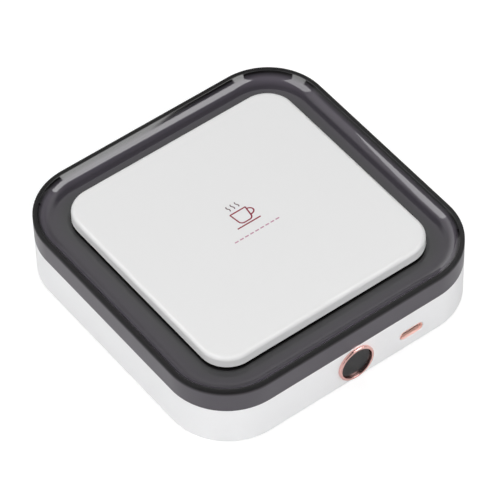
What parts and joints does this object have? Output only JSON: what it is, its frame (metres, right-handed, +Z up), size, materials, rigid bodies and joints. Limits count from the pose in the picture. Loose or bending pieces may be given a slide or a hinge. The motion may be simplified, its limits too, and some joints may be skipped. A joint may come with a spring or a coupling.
{
  "type": "electric mug warmer",
  "caption": "Rounded square mug warmer with a raised heated plate in a smoked tray, a ringed push button and a power inlet in the front wall.",
  "frame": {"origin": "middle of the square footprint, on the surface that the feet stand on", "axes": "+Z up, -Y out of the front wall with the button and the power inlet, +X to the right seen from the front"},
  "size_m": [0.11, 0.1109, 0.0264],
  "materials": {
    "white_shell": "satin white moulded plastic",
    "white_cover": "fine-grained white moulded plastic",
    "smoked_plastic": "glossy smoked grey plastic",
    "plate_enamel": "smooth white enamel on cast aluminium",
    "black_silicone": "matte black silicone",
    "polyimide_film": "amber film",
    "foil": "etched metal foil",
    "insulation_felt": "pressed fibre mat",
    "zinc_steel": "zinc-plated sheet steel",
    "screw_steel": "plated screw steel",
    "black_epoxy": "black potted bead",
    "ceramic": "cream ceramic body with tinned wire ends",
    "red_wire": "red silicone insulation",
    "black_wire": "black insulation",
    "board_laminate": "green solder mask on glass laminate",
    "rose_gold": "polished rose gold plating",
    "port_insulator": "black moulded insulator",
    "chip_epoxy": "matte black moulded package",
    "capacitor_can": "bare aluminium can",
    "connector_nylon": "natural nylon",
    "gloss_black": "glossy black plastic",
    "switch_black": "matte black plastic",
    "foot_rubber": "dark grey rubber"
  },
  "bodies": {
    "housing": {"base_shell": "white_shell", "bottom_cover": "white_cover", "smoke_tray": "smoked_plastic", "heating_plate": "plate_enamel", "plate_gasket": "black_silicone", "film_heater": "polyimide_film", "heater_track": "foil", "insulation_pad": "insulation_felt", "heater_bracket": "zinc_steel", "plate_screws": "screw_steel", "thermistor": "black_epoxy", "thermal_fuse": "ceramic", "heater_leads": "red_wire", "sensor_leads": "black_wire", "circuit_board": "board_laminate", "port_shell": "rose_gold", "port_tongue": "port_insulator", "microcontroller": "chip_epoxy", "power_transistor": "chip_epoxy", "filter_capacitor": "capacitor_can", "chip_resistors": "chip_epoxy", "lead_connectors": "connector_nylon", "board_screws": "screw_steel", "button_bezel": "rose_gold", "switch_body": "switch_black", "case_screws": "screw_steel", "foot_front_left": "foot_rubber", "foot_front_right": "foot_rubber", "foot_rear_left": "foot_rubber", "foot_rear_right": "foot_rubber"},
    "button": {"button_cap": "gloss_black"},
    "plunger": {"switch_plunger": "switch_black"}
  },
  "joints": [
    {"name": "button_press", "type": "slide", "parent": "housing", "child": "button", "axis": [0, 1, 0], "range_m": [0, 0.0005], "stiffness_N_per_m": 1500, "springref_m": -0.0003},
    {"name": "plunger_press", "type": "slide", "parent": "housing", "child": "plunger", "axis": [0, 1, 0], "range_m": [0, 0.0005]}
  ],
  "couplings": [
    {"joint": "plunger_press", "follows": "button_press", "ratio": 1}
  ]
}
